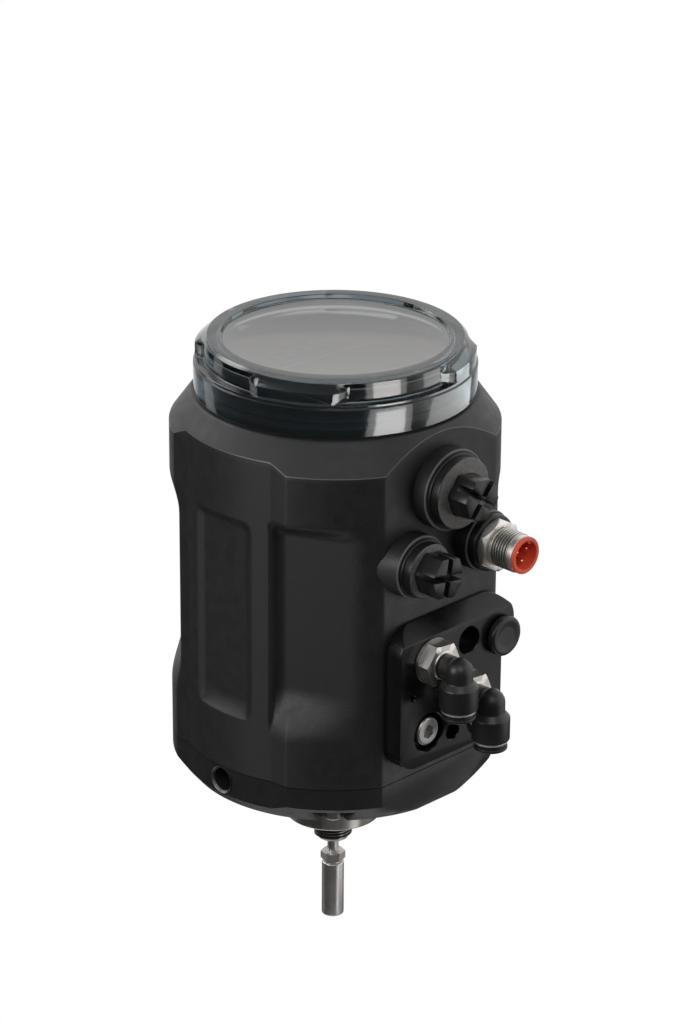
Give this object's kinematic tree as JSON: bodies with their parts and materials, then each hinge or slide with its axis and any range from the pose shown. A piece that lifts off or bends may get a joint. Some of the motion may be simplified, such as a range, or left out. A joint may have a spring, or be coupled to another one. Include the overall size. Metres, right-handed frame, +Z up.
{
  "type": "valve positioner",
  "caption": "Round valve positioner: black housing with a clear screw lid, push rod below, and air and cable connections on one flat side.",
  "frame": {"origin": "on the axis at the underside of the base plate, where the mounting spigot starts", "axes": "+Z up through the lid; the connector face looks along -Y; +X to the right when facing it"},
  "size_m": [0.096, 0.1154, 0.1959],
  "materials": {
    "black_body": "black anodised, fine matt",
    "steel": "turned stainless steel",
    "nickel": "nickel-plated brass, satin",
    "bronze": "sintered bearing bronze",
    "rubber": "black sealing rubber",
    "dark_steel": "blackened steel",
    "sensor_plastic": "dark filled plastic",
    "slider_plastic": "natural low-friction plastic",
    "spring_steel": "spring wire",
    "brass_post": "turned brass",
    "board": "green circuit board",
    "panel": "dark grey printed film on plastic",
    "screen": "dark display glass",
    "key": "grey keypad",
    "clear_lid": "smoked clear plastic, glossy",
    "alloy": "milled aluminium",
    "plug_plastic": "black filled plastic, slightly rough",
    "red_plastic": "red contact carrier",
    "gold": "gold-plated contacts",
    "fitting_plastic": "black satin plastic",
    "filter": "sintered filter disc"
  },
  "bodies": {
    "body": {"housing": "black_body", "base_plate": "black_body", "base_gasket": "rubber", "base_screws": "steel", "mounting_spigot": "steel", "threaded_nipple": "steel", "guide_bush": "bronze", "clamp_screw": "dark_steel", "travel_sensor": "sensor_plastic", "return_spring": "spring_steel", "board_posts": "brass_post", "main_board": "board", "panel_plate": "panel", "display": "screen", "valve_block": "alloy", "pilot_valves": "sensor_plastic", "large_plug": "plug_plastic", "large_plug_seal": "rubber", "small_plug": "plug_plastic", "small_plug_seal": "rubber", "connector_seal": "rubber", "connector_shell": "nickel", "connector_insert": "red_plastic", "connector_pins": "gold", "air_block": "black_body", "block_gasket": "rubber", "block_screws": "steel", "vent_cap": "fitting_plastic", "vent_filter": "filter", "supply_stem": "nickel", "supply_seal": "nickel", "outlet_stem": "nickel", "outlet_seal": "nickel"},
    "spindle": {"push_rod": "steel", "lock_nut": "steel", "coupling_sleeve": "steel", "sensor_wiper": "slider_plastic"},
    "lid_lifter": {"lid_seal": "rubber"},
    "lid": {"lid": "clear_lid"},
    "key_1": {"key_1": "key"},
    "key_2": {"key_2": "key"},
    "key_3": {"key_3": "key"},
    "key_4": {"key_4": "key"},
    "supply_elbow": {"supply_elbow": "fitting_plastic", "supply_ring": "nickel"},
    "supply_collet": {"supply_collet": "fitting_plastic"},
    "outlet_elbow": {"outlet_elbow": "fitting_plastic", "outlet_ring": "nickel"},
    "outlet_collet": {"outlet_collet": "fitting_plastic"}
  },
  "joints": [
    {"name": "rod_slide", "type": "slide", "parent": "body", "child": "spindle", "axis": [0, 0, 1], "range_m": [0, 0.025], "stiffness_N_per_m": 200, "springref_m": -0.01, "deforming": ["return_spring"]},
    {"name": "lid_lift", "type": "slide", "parent": "body", "child": "lid_lifter", "axis": [0, 0, 1], "range_m": [0, 0.009]},
    {"name": "lid_turn", "type": "hinge", "parent": "lid_lifter", "child": "lid", "pos_m": [0, 0, 0.13], "axis": [0, 0, 1], "range_deg": [0, 1080]},
    {"name": "supply_swivel", "type": "hinge", "parent": "body", "child": "supply_elbow", "pos_m": [-0.0093, -0.0616, 0.0524], "axis": [0, -1, 0], "continuous": true},
    {"name": "outlet_swivel", "type": "hinge", "parent": "body", "child": "outlet_elbow", "pos_m": [0.005, -0.0616, 0.0376], "axis": [0, -1, 0], "range_deg": [-40, 180]},
    {"name": "supply_release", "type": "slide", "parent": "supply_elbow", "child": "supply_collet", "axis": [0, 0, 1], "range_m": [0, 0.001], "stiffness_N_per_m": 500, "springref_m": -0.001},
    {"name": "outlet_release", "type": "slide", "parent": "outlet_elbow", "child": "outlet_collet", "axis": [0, 0, 1], "range_m": [0, 0.001], "stiffness_N_per_m": 500, "springref_m": -0.001},
    {"name": "key_1_press", "type": "slide", "parent": "body", "child": "key_1", "axis": [0, 0, -1], "range_m": [0, 0.0006], "stiffness_N_per_m": 400, "springref_m": -0.0006},
    {"name": "key_2_press", "type": "slide", "parent": "body", "child": "key_2", "axis": [0, 0, -1], "range_m": [0, 0.0006], "stiffness_N_per_m": 400, "springref_m": -0.0006},
    {"name": "key_3_press", "type": "slide", "parent": "body", "child": "key_3", "axis": [0, 0, -1], "range_m": [0, 0.0006], "stiffness_N_per_m": 400, "springref_m": -0.0006},
    {"name": "key_4_press", "type": "slide", "parent": "body", "child": "key_4", "axis": [0, 0, -1], "range_m": [0, 0.0006], "stiffness_N_per_m": 400, "springref_m": -0.0006}
  ],
  "couplings": [
    {"joint": "lid_lift", "follows": "lid_turn", "m_per_rad": 0.00047746}
  ]
}
